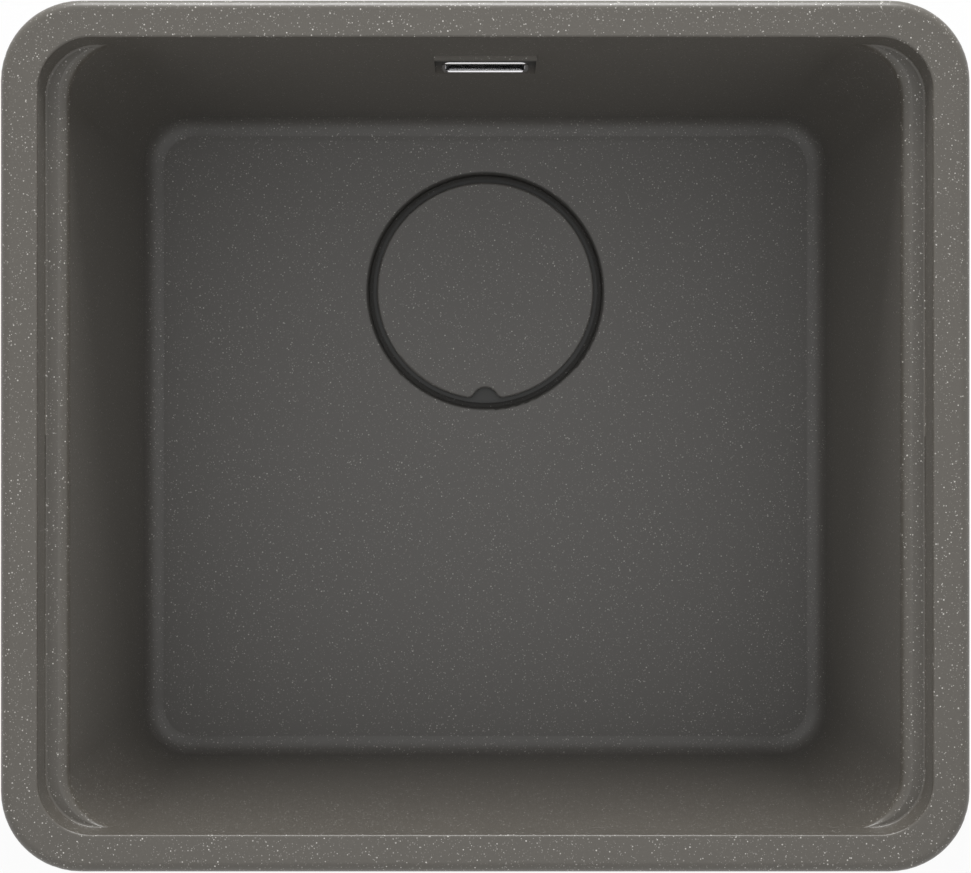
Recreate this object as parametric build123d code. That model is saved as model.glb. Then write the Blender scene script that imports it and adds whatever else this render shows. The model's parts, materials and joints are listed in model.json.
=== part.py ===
"""Granite composite kitchen sink with its waste, overflow and fixing clips, in millimetres.

The origin is the middle of the bowl's opening, on the surface of the worktop that the rim's
underside rests on. +Z is up, +Y points to the wall behind the sink and +X to the right.
"""

import os
from math import atan, cos, radians, sin, tan

from build123d import *

# Rim and bowl
RIM_LENGTH = 456.0
RIM_WIDTH = 410.0
RIM_HEIGHT = 9.0
RIM_BAND = 18.0
RIM_CORNER = 38.0
RIM_EDGE = 5.0
RIM_LIP = 1.2
RIM_FOOT = 1.0
OPENING_CORNER = 25.0
LEDGE_DEPTH = 15.0
LEDGE_WIDTH = 11.0
LEDGE_ROUND = 5.0
LEDGE_FILLET = 1.2
LEDGE_STEPS = 6
BOWL_DEPTH = 202.0
WALL = 8.0
WALL_DRAFT = 3.0
FLOOR_CORNER = 27.0
FLOOR_FILLET = 10.0
FLOOR = 8.0
FLOOR_FALL = 1.0
FALL_MARGIN = 2.0
PICK_MARGIN = 0.01

# Drain well and its cover
DRAIN_INSET = 106.0
WELL_RADIUS = 65.0
WELL_DEPTH = 10.0
WELL_EDGE = 2.0
FLANGE_RECESS = 3.0
BOSS_MARGIN = 10.0
BOSS_HEIGHT = 11.0
BOSS_EDGE = 3.0
COVER_GAP = 4.6
COVER_THICKNESS = 4.0
COVER_ROUND = 1.3
CARRIER_MARGIN = 2.1
CARRIER_SHEET = 2.0
NOTCH_RADIUS = 7.0
NOTCH_DEPTH = 6.5
NOTCH_FILLET = 4.0
FOOT_RADIUS = 5.0
FOOT_COUNT = 3

# Strainer
GASKET = 1.5
SHEET = 1.2
FLANGE_MARGIN = 8.0
FLANGE_GAP = 1.5
CUP_RADIUS = 42.0
CUP_GAP = 3.0
CUP_SHOULDER = 3.0
CUP_SEAT = 10.0
SEAT_SLOPE = 0.6
CUP_HOLES = 6
CUP_HOLE_RADIUS = 5.5
CUP_HOLE_SPREAD = 20.0
BASKET_LIFT = 8.0
BASKET_DEPTH = 27.5
BASKET_SHEET = 0.8
BASKET_GAP = 2.3
BASKET_WALL_GAP = 1.3
BASKET_HOLE = 1.6
BASKET_HOLE_FIRST = 12.0
BASKET_HOLE_STEP = 6.0
BASKET_HOLE_COUNTS = (8, 12, 18)
BASKET_SLOTS = 16
BASKET_SLOT_WIDTH = 3.0
BASKET_SLOT_HEIGHT = 11.0
SEAL_GAP = 1.5
SEAL_HEIGHT = 7.5
SEAL_LIP = 2.6
SEAT_CLEARANCE = 0.3
SEAL_FIT = 0.1
KNOB_CLEARANCE = 1.5
KNOB_RADIUS = 11.0
KNOB_HEIGHT = 4.5
KNOB_RIM = 3.0
KNOB_EDGE = 1.1
KNOB_NECK = 3.5
KNOB_FOOT = 6.0
KNOB_FOOT_HEIGHT = 2.0
STEM_RADIUS = 3.0
STEM_LENGTH = 14.0
STEM_EDGE = 1.0

# Waste body
BODY_GAP = 3.0
BODY_WALL = 3.0
BODY_FLANGE = 4.0
BODY_FILLET = 2.0
BODY_RIBS = 8
BODY_RIB = 2.4
BODY_RIB_INSET = 2.0
BODY_RIB_TOE = 1.0
BODY_RIB_HEIGHT = 12.0
WASTE_GASKET = 2.0
BOLT_HEAD = 2.5
BOLT_HEAD_RADIUS = 9.0
BOLT_HEAD_CLEARANCE = 1.0
BOLT_RADIUS = 5.0
BOLT_BORE = 3.3
BOLT_SLOT = 1.6
BOLT_SLOT_DEPTH = 1.2
BOLT_CLEARANCE = 0.15
SPIDER_GAP = 2.8
SPIDER_HEIGHT = 12.0
SPIDER_HUB = 12.0
SPIDER_ARM = 3.5
SPIDER_ARMS = 4
NUT_RADIUS = 8.0
NUT_MARGIN = 0.6
BODY_TAIL = 8.0
TAIL_COLLAR = 8.0
TAIL_WALL = 3.0
TAIL_STEP = 1.5
TAIL_CLEARANCE = 0.15
TAIL_GRIPS = 20
TAIL_GRIP_RADIUS = 1.4
CONE_HEIGHT = 9.0
OUTLET_RADIUS = 23.9
OUTLET_WALL = 3.4
OUTLET_LENGTH = 24.0

# Overflow
BROW_DEPTH = 41.0
BROW_HEIGHT = 3.5
BROW_REACH = 1.9
POCKET_MARGIN = 3.5
POCKET_FOOT_DEPTH = 81.5
POCKET_RECESS = 6.0
BEZEL_LENGTH = 43.3
BEZEL_HEIGHT = 13.4
BEZEL_THICKNESS = 1.1
BEZEL_EDGE = 0.9
BEZEL_CORNER = 4.0
BEZEL_DEPTH = 71.9
SLEEVE_MARGIN = 1.1
SLEEVE_WALL = 1.0
SLEEVE_CLEARANCE = 0.3
WEB = 2.0
WEB_OPENING = 21.0
PAD_REACH = 8.5
PAD_MARGIN = 4.0
PAD_TOP_DEPTH = 44.0
PAD_FOOT_DEPTH = 87.6
PAD_SLOPE = 5.0
HEAD_LENGTH = 64.0
HEAD_HEIGHT = 31.0
HEAD_PLATE = 3.0
HEAD_CORNER = 5.0
HEAD_BOX_MARGIN = 7.0
HEAD_BOX_DEPTH = 14.5
HEAD_BOX_RISE = 14.8
HEAD_BOX_DROP = 12.2
HEAD_WALL = 2.0
HEAD_ROUND = 4.0
SCREW_RADIUS = 2.0
SCREW_SPREAD = 14.6
SCREW_HEAD = 3.3
SCREW_HEAD_HEIGHT = 2.4
SCREW_LENGTH = 9.0
SCREW_BOSS = 4.2
SCREW_CLEARANCE = 0.1

# Overflow hose and its unions
HOSE_RADIUS = 9.0
HOSE_RIB = 1.0
HOSE_BORE = 7.0
HOSE_PITCH = 4.0
RIB_FOOT = 0.15
RIB_CREST = 0.35
HOSE_BEND = 85.0
HOSE_COLLAR = 2.5
HOSE_SEAL = 1.5
HOSE_CUFF = 7.0
UNION_RADIUS = 10.4
UNION_LENGTH = 13.0
UNION_CLEARANCE = 0.15
UNION_NUT_RADIUS = 12.8
UNION_NUT_COVER = 9.0
UNION_LIP = 2.5
UNION_GRIPS = 8
UNION_GRIP_RADIUS = 1.2
INLET_DROP = 32.0
INLET_RISE = 30.0
INLET_LENGTH = 18.0
INLET_ROOT = 24.0
HOSE_STANDOFF = 12.5

# Fixing clips
CLIP_END_INSET = 75.0
CLIP_BOSS = 6.5
CLIP_BOSS_HEIGHT = 17.0
CLIP_INSET = 6.5
INSERT_RADIUS = 4.2
INSERT_LENGTH = 12.0
CLIP_SCREW = 2.5
CLIP_SCREW_GRIP = 10.0
CLIP_SCREW_CLEARANCE = 0.15
CLIP_DROP = 21.0
CLIP_HEAD = 4.3
CLIP_HEAD_HEIGHT = 3.5
CLIP_SLOT = 1.2
CLIP_SLOT_DEPTH = 1.6
ARM_WIDTH = 12.4
ARM_REACH = 32.0
ARM_SHEET = 1.5
ARM_SKIRT = 7.0
ARM_LIP = 9.0
ARM_HOLE_CLEARANCE = 0.3
ARM_TEETH = 4
ARM_TOOTH = 1.4


def level(depth):
    """Height of a point this deep below the top of the rim."""
    return RIM_HEIGHT - depth


draft = tan(radians(WALL_DRAFT))
opening_half_x = RIM_LENGTH / 2 - RIM_BAND
opening_half_y = RIM_WIDTH / 2 - RIM_BAND
drain_offset = opening_half_y - DRAIN_INSET

floor_level = level(BOWL_DEPTH)
mouth_level = floor_level - FLOOR_FALL
shelf_level = mouth_level - WELL_DEPTH
seat_level = shelf_level - FLANGE_RECESS
under_level = mouth_level - FLOOR
boss_level = under_level - BOSS_HEIGHT
under_depth = RIM_HEIGHT - under_level
mouth_radius = WELL_RADIUS + WELL_EDGE
boss_radius = WELL_RADIUS + BOSS_MARGIN
flange_radius = WELL_RADIUS - FLANGE_MARGIN
recess_radius = flange_radius + FLANGE_GAP
drain_hole = CUP_RADIUS + CUP_GAP

flange_under = seat_level + GASKET
flange_top = flange_under + SHEET
cover_radius = WELL_RADIUS - COVER_GAP
cover_under = mouth_level - COVER_THICKNESS
carrier_under = cover_under - CARRIER_SHEET
knob_top = carrier_under - KNOB_CLEARANCE - BASKET_LIFT
basket_rim = knob_top - KNOB_HEIGHT
basket_under = basket_rim - BASKET_DEPTH
cup_floor = basket_under - BOLT_HEAD_CLEARANCE - BOLT_HEAD
cup_inner = CUP_RADIUS - SHEET
cup_floor_radius = cup_inner - CUP_SEAT
basket_wall_radius = cup_floor_radius - BASKET_WALL_GAP
cup_under = cup_floor - SHEET
seat_top = cup_floor + CUP_SEAT * SEAT_SLOPE

body_top = boss_level - WASTE_GASKET
body_inner = CUP_RADIUS + BODY_GAP
body_radius = body_inner + BODY_WALL
hub_top = cup_under - SPIDER_GAP
hub_bottom = hub_top - SPIDER_HEIGHT
cone_top = hub_bottom - BODY_TAIL
outlet_top = cone_top - CONE_HEIGHT
outlet_end = outlet_top - OUTLET_LENGTH

pocket_top_depth = BROW_DEPTH + BROW_HEIGHT
pocket_length = BEZEL_LENGTH + 2 * POCKET_MARGIN
sleeve_length = BEZEL_LENGTH - 2 * SLEEVE_MARGIN
sleeve_height = BEZEL_HEIGHT - 2 * SLEEVE_MARGIN
sleeve_corner = BEZEL_CORNER - SLEEVE_MARGIN
pad_face = opening_half_y + PAD_REACH
pad_length = HEAD_LENGTH + 2 * PAD_MARGIN
head_box_length = HEAD_LENGTH - 2 * HEAD_BOX_MARGIN
pad_gasket_face = pad_face + GASKET
head_back = pad_gasket_face + HEAD_PLATE + HEAD_BOX_DEPTH
head_floor = level(BEZEL_DEPTH) - HEAD_BOX_DROP
spigot_end = head_floor - UNION_LENGTH
hose_offset = pad_face + HOSE_STANDOFF

insert_bottom = level(LEDGE_DEPTH + WALL) - CLIP_BOSS_HEIGHT
arm_under = insert_bottom - CLIP_DROP


def back_wall(depth):
    """How far back the inner face of the back wall lies at this depth."""
    return opening_half_y - depth * draft


def outline(depth, half_x, half_y, corner):
    return Pos(0, 0, level(depth)) * RectangleRounded(2 * half_x, 2 * half_y, corner)


def opening_outline(depth, grow=0.0):
    """The upper part of the bowl, above the ledges, at this depth."""
    half_x = opening_half_x - depth * draft + grow
    return outline(depth, half_x, back_wall(depth) + grow, OPENING_CORNER + grow)


def bowl_outline(depth, grow=0.0, flare=0.0):
    """The bowl below the ledges at this depth. A flare widens it towards the two ledges."""
    half_x = opening_half_x - LEDGE_WIDTH - depth * draft + grow + flare
    corner = OPENING_CORNER + (FLOOR_CORNER - OPENING_CORNER) * depth / BOWL_DEPTH
    return outline(depth, half_x, back_wall(depth) + grow, corner + grow)


def turned(points, axis_y=0.0):
    """A solid of revolution about a vertical axis, from radius and height pairs."""
    profile = make_face(Polyline(*points, close=True))
    return Pos(0, axis_y, 0) * revolve(Plane.XZ * profile, Axis.Z)


def ring(outer, inner, bottom, top):
    return turned([(inner, bottom), (outer, bottom), (outer, top), (inner, top)], drain_offset)


def rod(radius, bottom, top, x=0.0, y=0.0):
    return Pos(x, y, (bottom + top) / 2) * Cylinder(radius, top - bottom)


def wall_prism(length, points):
    """A prism along X, centred on the middle plane, from Y and Z pairs."""
    profile = make_face(Plane.YZ * Polyline(*points, close=True))
    return extrude(profile, length / 2, (1, 0, 0), both=True)


def bowl_void():
    """The space inside the bowl, with its ledges, rounded floor edge and fall to the drain."""
    upper = loft([opening_outline(-RIM_LIP), opening_outline(LEDGE_DEPTH)], ruled=True)
    upper = fillet(upper.edges().group_by(Axis.Z)[0], LEDGE_FILLET)
    throat_depth = LEDGE_DEPTH - 2 * LEDGE_FILLET
    throat = loft(
        [bowl_outline(throat_depth, flare=LEDGE_ROUND), bowl_outline(LEDGE_DEPTH, flare=LEDGE_ROUND)],
        ruled=True,
    )
    turns = [radians(90 * step / LEDGE_STEPS) for step in range(LEDGE_STEPS + 1)]
    flared = [
        bowl_outline(LEDGE_DEPTH + LEDGE_ROUND * (1 - cos(turn)), flare=LEDGE_ROUND * (1 - sin(turn)))
        for turn in turns
    ]
    rounded = loft(flared)
    lower = loft([bowl_outline(LEDGE_DEPTH + LEDGE_ROUND), bowl_outline(BOWL_DEPTH)], ruled=True)
    lower = fillet(lower.edges().group_by(Axis.Z)[0], FLOOR_FILLET)
    return upper + throat + rounded + lower + floor_fall()


def floor_fall():
    """The shallow fall of the floor, from its flat edge to the mouth of the drain well."""
    half_x = opening_half_x - LEDGE_WIDTH - BOWL_DEPTH * draft - FLOOR_FILLET - FALL_MARGIN
    half_y = back_wall(BOWL_DEPTH) - FLOOR_FILLET - FALL_MARGIN
    edge = outline(BOWL_DEPTH, half_x, half_y, FLOOR_CORNER - FLOOR_FILLET)
    mouth = Pos(0, drain_offset, mouth_level) * Circle(mouth_radius)
    return loft([edge, mouth], ruled=True)


def drain_void():
    """The stepped well that the cover sits in, with its rounded mouth and the drain hole."""
    start = (0, floor_level)
    rounding = CenterArc((mouth_radius, mouth_level - WELL_EDGE), WELL_EDGE, 90, 90)
    sides = Polyline(
        rounding @ 1,
        (WELL_RADIUS, shelf_level),
        (recess_radius, shelf_level),
        (recess_radius, seat_level),
        (drain_hole, seat_level),
        (drain_hole, boss_level - BOSS_HEIGHT),
        (0, boss_level - BOSS_HEIGHT),
        start,
        (mouth_radius, floor_level),
        rounding @ 0,
    )
    profile = Plane.XZ * make_face(Curve() + [rounding, sides])
    return Pos(0, drain_offset, 0) * revolve(profile, Axis.Z)


def clip_spots():
    """Screw axes of the clips, three under each ledge."""
    reach = opening_half_x + WALL - LEDGE_DEPTH * draft - CLIP_INSET
    end = opening_half_y - CLIP_END_INSET
    return [(side * reach, place) for side in (1, -1) for place in (-end, 0.0, end)]


def ramp(depth):
    """How far back the sloping face behind the overflow lies at this depth."""
    top = back_wall(pocket_top_depth) + POCKET_RECESS
    share = (depth - pocket_top_depth) / (POCKET_FOOT_DEPTH - pocket_top_depth)
    return top + (back_wall(POCKET_FOOT_DEPTH) - top) * share


def sink_bowl():
    rim = extrude(RectangleRounded(RIM_LENGTH, RIM_WIDTH, RIM_CORNER), RIM_HEIGHT)
    rim = fillet(rim.edges().group_by(Axis.Z)[-1], RIM_EDGE)
    rim = fillet(rim.edges().group_by(Axis.Z)[0], RIM_FOOT)
    collar_depth = LEDGE_DEPTH + WALL
    collar = loft([opening_outline(RIM_EDGE, WALL), opening_outline(collar_depth, WALL)], ruled=True)
    shell = loft([bowl_outline(LEDGE_DEPTH, WALL), bowl_outline(under_depth, WALL)], ruled=True)
    shell = fillet(shell.edges().group_by(Axis.Z)[0], FLOOR_FILLET + WALL)
    boss = rod(boss_radius, boss_level, mouth_level, y=drain_offset)
    boss = chamfer(boss.edges().group_by(Axis.Z)[0], BOSS_EDGE)
    pad_root = back_wall(PAD_TOP_DEPTH) + WALL / 2
    pad = wall_prism(
        pad_length,
        [
            (pad_root, level(PAD_TOP_DEPTH - PAD_SLOPE)),
            (pad_face, level(PAD_TOP_DEPTH)),
            (pad_face, level(PAD_FOOT_DEPTH)),
            (pad_root, level(PAD_FOOT_DEPTH + PAD_SLOPE)),
        ],
    )
    body = rim + collar + shell + boss + pad
    clip_top = level(collar_depth)
    for x, y in clip_spots():
        body += rod(CLIP_BOSS, clip_top - CLIP_BOSS_HEIGHT, clip_top + WALL / 2, x, y)
    body -= bowl_void()
    body = fillet(rim_lip_edges(body), RIM_LIP)
    body -= drain_void()
    for x, y in clip_spots():
        body -= rod(INSERT_RADIUS, insert_bottom, insert_bottom + INSERT_LENGTH, x, y)
    return body + overflow_brow() - overflow_void()


def rim_lip_edges(body):
    """The edges round the opening, at the top of the rim's inner face."""
    top = body.edges().filter_by_position(Axis.Z, RIM_HEIGHT - PICK_MARGIN, RIM_HEIGHT + PICK_MARGIN)
    inner_x = opening_half_x + RIM_BAND / 4
    inner_y = opening_half_y + RIM_BAND / 4
    inside = top.filter_by_position(Axis.X, -inner_x, inner_x)
    return inside.filter_by_position(Axis.Y, -inner_y, inner_y)


def overflow_brow():
    """The small lip above the overflow that keeps its face upright."""
    front = back_wall(BROW_DEPTH) - BROW_REACH
    root = back_wall(pocket_top_depth) + WALL / 2
    return wall_prism(
        pocket_length,
        [
            (front, level(BROW_DEPTH)),
            (root, level(BROW_DEPTH)),
            (root, level(pocket_top_depth)),
            (front, level(pocket_top_depth)),
        ],
    )


def overflow_void():
    """The scooped recess below the brow and the slot through the wall behind it."""
    front = back_wall(POCKET_FOOT_DEPTH) - WALL
    scoop = wall_prism(
        pocket_length,
        [
            (front, level(pocket_top_depth)),
            (ramp(pocket_top_depth), level(pocket_top_depth)),
            (ramp(POCKET_FOOT_DEPTH), level(POCKET_FOOT_DEPTH)),
            (front, level(POCKET_FOOT_DEPTH)),
        ],
    )
    slot = across(sleeve_length, sleeve_height, sleeve_corner, front, pad_face + WALL, SLEEVE_CLEARANCE)
    return scoop + slot


def across(length, height, corner, near, far, grow=0.0):
    """A rounded bar along Y on the overflow's axis, from one distance back to another."""
    section = RectangleRounded(length + 2 * grow, height + 2 * grow, corner + grow)
    face = Plane((0, near, level(BEZEL_DEPTH)), (1, 0, 0), (0, 1, 0)) * section
    return extrude(face, far - near)


def drain_cover():
    plate = rod(cover_radius, cover_under, mouth_level, y=drain_offset)
    notch_y = drain_offset - cover_radius + NOTCH_DEPTH - NOTCH_RADIUS
    plate -= rod(NOTCH_RADIUS, cover_under, mouth_level, y=notch_y)
    corners = plate.edges().filter_by(Axis.Z).group_by(Axis.Y)[0]
    plate = fillet(corners, NOTCH_FILLET)
    return fillet(plate.faces().sort_by(Axis.Z)[-1].edges(), COVER_ROUND)


def cover_carrier():
    """The plate bonded under the cover, a little wider than it, that the notch opens onto."""
    return rod(cover_radius + CARRIER_MARGIN, carrier_under, cover_under, y=drain_offset)


def cover_feet():
    circle = (flange_radius + CUP_RADIUS + CUP_SHOULDER) / 2
    return [
        rod(
            FOOT_RADIUS,
            flange_top,
            carrier_under,
            circle * sin(radians(turn)),
            drain_offset + circle * cos(radians(turn)),
        )
        for turn in (360 * foot / FOOT_COUNT for foot in range(FOOT_COUNT))
    ]


def strainer_flange():
    """The pressed dish that lines the drain hole, with holes in its floor."""
    dish = turned(
        [
            (flange_radius, flange_under),
            (flange_radius, flange_top),
            (CUP_RADIUS + CUP_SHOULDER - SHEET, flange_top),
            (cup_inner, flange_top - CUP_SHOULDER),
            (cup_inner, seat_top),
            (cup_floor_radius, cup_floor),
            (BOLT_RADIUS + BOLT_CLEARANCE, cup_floor),
            (BOLT_RADIUS + BOLT_CLEARANCE, cup_under),
            (cup_floor_radius, cup_under),
            (CUP_RADIUS, seat_top - SHEET),
            (CUP_RADIUS, flange_top - CUP_SHOULDER - SHEET / 2),
            (CUP_RADIUS + CUP_SHOULDER - SHEET, flange_under),
        ],
        drain_offset,
    )
    for hole in PolarLocations(CUP_HOLE_SPREAD, CUP_HOLES):
        dish -= Pos(0, drain_offset, cup_floor) * hole * Cylinder(CUP_HOLE_RADIUS, 4 * SHEET)
    return dish


def strainer_basket():
    wall_inner = basket_wall_radius - BASKET_SHEET
    rim_radius = cup_inner - BASKET_GAP
    floor_top = basket_under + BASKET_SHEET
    basket = turned(
        [
            (0, basket_under),
            (basket_wall_radius, basket_under),
            (basket_wall_radius, basket_rim - BASKET_SHEET),
            (rim_radius, basket_rim - BASKET_SHEET),
            (rim_radius, basket_rim),
            (wall_inner, basket_rim),
            (wall_inner, floor_top),
            (0, floor_top),
        ],
        drain_offset,
    )
    holes = [
        Pos(0, drain_offset, basket_under) * hole * Cylinder(BASKET_HOLE, 4 * BASKET_SHEET)
        for row, count in enumerate(BASKET_HOLE_COUNTS)
        for hole in PolarLocations(BASKET_HOLE_FIRST + row * BASKET_HOLE_STEP, count)
    ]
    slot_middle = (basket_under + SEAL_HEIGHT + basket_rim) / 2
    slot_face = Plane.YZ * SlotOverall(BASKET_SLOT_HEIGHT, BASKET_SLOT_WIDTH, 90)
    slot = extrude(slot_face, 2 * basket_wall_radius)
    slots = [
        Pos(0, drain_offset, slot_middle) * Rot(0, 0, 360 * place / BASKET_SLOTS) * slot
        for place in range(BASKET_SLOTS)
    ]
    return basket - holes - slots


def basket_seal():
    reach = cup_inner - SEAL_GAP
    inner = basket_wall_radius + SEAL_FIT

    def seat(radius):
        return cup_floor + (radius - cup_floor_radius) * SEAT_SLOPE + SEAT_CLEARANCE

    toe = cup_floor_radius + (basket_under - cup_floor - SEAT_CLEARANCE) / SEAT_SLOPE
    return turned(
        [
            (inner, basket_under),
            (toe, basket_under),
            (reach, seat(reach)),
            (reach, seat(reach) + SEAL_LIP),
            (toe, basket_under + SEAL_HEIGHT),
            (inner, basket_under + SEAL_HEIGHT),
        ],
        drain_offset,
    )


def basket_knob():
    foot = basket_under + BASKET_SHEET
    neck_top = knob_top - KNOB_HEIGHT
    knob = turned(
        [
            (0, foot),
            (KNOB_FOOT, foot),
            (KNOB_FOOT, foot + KNOB_FOOT_HEIGHT),
            (KNOB_NECK, foot + 2 * KNOB_FOOT_HEIGHT),
            (KNOB_NECK, neck_top - KNOB_HEIGHT),
            (KNOB_RADIUS, knob_top - KNOB_RIM),
            (KNOB_RADIUS, knob_top),
            (0, knob_top),
        ],
        drain_offset,
    )
    return fillet(knob.edges().group_by(Axis.Z)[-1], KNOB_EDGE)


def basket_stem():
    """The guide under the basket, which slides in the hollow bolt."""
    stem = rod(STEM_RADIUS, basket_under - STEM_LENGTH, basket_under, y=drain_offset)
    return chamfer(stem.edges().group_by(Axis.Z)[0], STEM_EDGE)


def waste_bolt():
    """The hollow bolt that draws the dish and the waste body together."""
    bolt = rod(BOLT_RADIUS, hub_bottom, cup_floor, y=drain_offset)
    bolt += rod(BOLT_HEAD_RADIUS, cup_floor, cup_floor + BOLT_HEAD, y=drain_offset)
    bolt -= rod(BOLT_BORE, hub_bottom, cup_floor + BOLT_HEAD, y=drain_offset)
    slot_place = Pos(0, drain_offset, cup_floor + BOLT_HEAD - BOLT_SLOT_DEPTH / 2)
    return bolt - slot_place * Box(2 * BOLT_HEAD_RADIUS, BOLT_SLOT, BOLT_SLOT_DEPTH)


def waste_nut():
    """The brass nut moulded into the spider."""
    thread = BOLT_RADIUS + BOLT_CLEARANCE
    return ring(NUT_RADIUS, thread, hub_bottom + NUT_MARGIN, hub_top - NUT_MARGIN)


inlet_frame = Plane(
    (0, drain_offset + body_radius, body_top - INLET_DROP),
    (1, 0, 0),
    (0, cos(radians(INLET_RISE)), sin(radians(INLET_RISE))),
)
spigot_frame = Plane((0, hose_offset, head_floor), (1, 0, 0), (0, 0, -1))


def bar(frame, radius, start, end):
    """A round bar along a plane's normal, between two distances from the plane."""
    return extrude(frame.offset(start) * Circle(radius), end - start)


def tube(frame, outer, inner, start, end):
    return bar(frame, outer, start, end) - bar(frame, inner, start, end)


def flange_rib():
    """One of the ribs that carry the waste body's flange."""
    root = body_radius - BODY_WALL / 2
    tip = flange_radius - BODY_RIB_INSET
    under = body_top - BODY_FLANGE
    profile = Polyline(
        (root, under + BODY_FLANGE / 2),
        (tip, under + BODY_FLANGE / 2),
        (tip, under - BODY_RIB_TOE),
        (root, under - BODY_RIB_HEIGHT),
        close=True,
    )
    return extrude(Plane.XZ * make_face(profile), BODY_RIB / 2, both=True)


def waste_body():
    """The plastic cup under the bowl, with the overflow's inlet and the spider for the bolt."""
    outside = turned(
        [
            (0, body_top),
            (flange_radius, body_top),
            (flange_radius, body_top - BODY_FLANGE),
            (body_radius + BODY_FILLET, body_top - BODY_FLANGE),
            (body_radius, body_top - BODY_FLANGE - BODY_FILLET),
            (body_radius, cone_top),
            (0, cone_top),
        ],
        drain_offset,
    )
    for place in range(BODY_RIBS):
        outside += Pos(0, drain_offset, 0) * Rot(0, 0, 360 * (place + 1 / 2) / BODY_RIBS) * flange_rib()
    outside += bar(inlet_frame, UNION_RADIUS, -INLET_ROOT, INLET_LENGTH)
    inside = turned(
        [
            (0, body_top),
            (body_inner, body_top),
            (body_inner, cone_top),
            (0, cone_top),
        ],
        drain_offset,
    )
    inside += bar(inlet_frame, HOSE_BORE, -INLET_ROOT, INLET_LENGTH)
    hub = rod(SPIDER_HUB, hub_bottom, hub_top, y=drain_offset)
    for arm in range(SPIDER_ARMS):
        turn = Rot(0, 0, 360 * (arm + 1 / 2) / SPIDER_ARMS)
        reach = body_inner + BODY_WALL / 2
        beam = Pos(reach / 2, 0, 0) * Box(reach, SPIDER_ARM, SPIDER_HEIGHT)
        hub += Pos(0, drain_offset, (hub_top + hub_bottom) / 2) * turn * beam
    socket = rod(NUT_RADIUS, hub_bottom + NUT_MARGIN, hub_top - NUT_MARGIN, y=drain_offset)
    passage = rod(BOLT_RADIUS + BOLT_CLEARANCE, hub_bottom, hub_top, y=drain_offset)
    return outside - inside + (hub - socket - passage)


def waste_tail():
    """The tail that screws onto the waste body, with a gripped collar and the outlet."""
    outlet_inner = OUTLET_RADIUS - OUTLET_WALL
    seat = body_radius + TAIL_CLEARANCE
    collar = seat + TAIL_WALL
    tail = turned(
        [
            (seat, cone_top + TAIL_COLLAR),
            (seat, cone_top),
            (body_inner, cone_top),
            (outlet_inner, outlet_top + TAIL_STEP),
            (outlet_inner, outlet_end),
            (OUTLET_RADIUS, outlet_end),
            (OUTLET_RADIUS, outlet_top),
            (OUTLET_RADIUS + BODY_FILLET, outlet_top),
            (collar, cone_top - TAIL_STEP),
            (collar, cone_top + TAIL_COLLAR),
        ],
        drain_offset,
    )
    middle = cone_top + TAIL_COLLAR / 2
    for place in PolarLocations(collar + TAIL_GRIP_RADIUS / 2, TAIL_GRIPS):
        tail -= Pos(0, drain_offset, middle) * place * Cylinder(TAIL_GRIP_RADIUS, 2 * TAIL_COLLAR)
    return tail


def overflow_frame():
    """The chrome frame: a rounded bezel on the sloping face and a sleeve through the wall."""
    slope = atan(
        (ramp(pocket_top_depth) - ramp(POCKET_FOOT_DEPTH)) / (POCKET_FOOT_DEPTH - pocket_top_depth)
    )
    bezel_face = Plane(
        (0, ramp(BEZEL_DEPTH), level(BEZEL_DEPTH)), (1, 0, 0), (0, -cos(slope), sin(slope))
    )
    near = ramp(POCKET_FOOT_DEPTH) - 2 * BEZEL_THICKNESS
    opening = across(sleeve_length, sleeve_height, sleeve_corner, near, pad_gasket_face - WEB, -SLEEVE_WALL)
    window = across(WEB_OPENING, sleeve_height, sleeve_corner, near, pad_gasket_face, -SLEEVE_WALL)
    bezel = extrude(
        bezel_face * RectangleRounded(BEZEL_LENGTH, BEZEL_HEIGHT, BEZEL_CORNER), BEZEL_THICKNESS
    )
    bezel -= opening
    front = bezel.faces().sort_by(Axis(bezel_face.origin, bezel_face.z_dir))[-1]
    bezel = fillet(front.edges(), BEZEL_EDGE)
    in_front = bezel_face * Pos(0, 0, WALL) * Box(2 * BEZEL_LENGTH, 2 * BEZEL_LENGTH, 2 * WALL)
    sleeve = across(sleeve_length, sleeve_height, sleeve_corner, near, pad_gasket_face) - in_front
    frame = bezel + (sleeve - opening - window)
    for x in (-SCREW_SPREAD, SCREW_SPREAD):
        frame -= screw_rod(x, SCREW_RADIUS + SCREW_CLEARANCE, pad_gasket_face - WEB, pad_gasket_face)
    return frame


def screw_rod(x, radius, near, far):
    face = Plane((x, near, level(BEZEL_DEPTH)), (1, 0, 0), (0, 1, 0)) * Circle(radius)
    return extrude(face, far - near)


def overflow_screws():
    head_seat = pad_gasket_face - WEB
    return [
        screw_rod(x, SCREW_HEAD, head_seat - SCREW_HEAD_HEIGHT, head_seat)
        + screw_rod(x, SCREW_RADIUS, head_seat, head_seat + WEB + SCREW_LENGTH)
        for x in (-SCREW_SPREAD, SCREW_SPREAD)
    ]


def overflow_gasket():
    sheet = across(HEAD_LENGTH, HEAD_HEIGHT, HEAD_CORNER, pad_face, pad_gasket_face)
    return sheet - across(
        sleeve_length, sleeve_height, sleeve_corner, pad_face, pad_gasket_face, SLEEVE_CLEARANCE
    )


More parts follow.
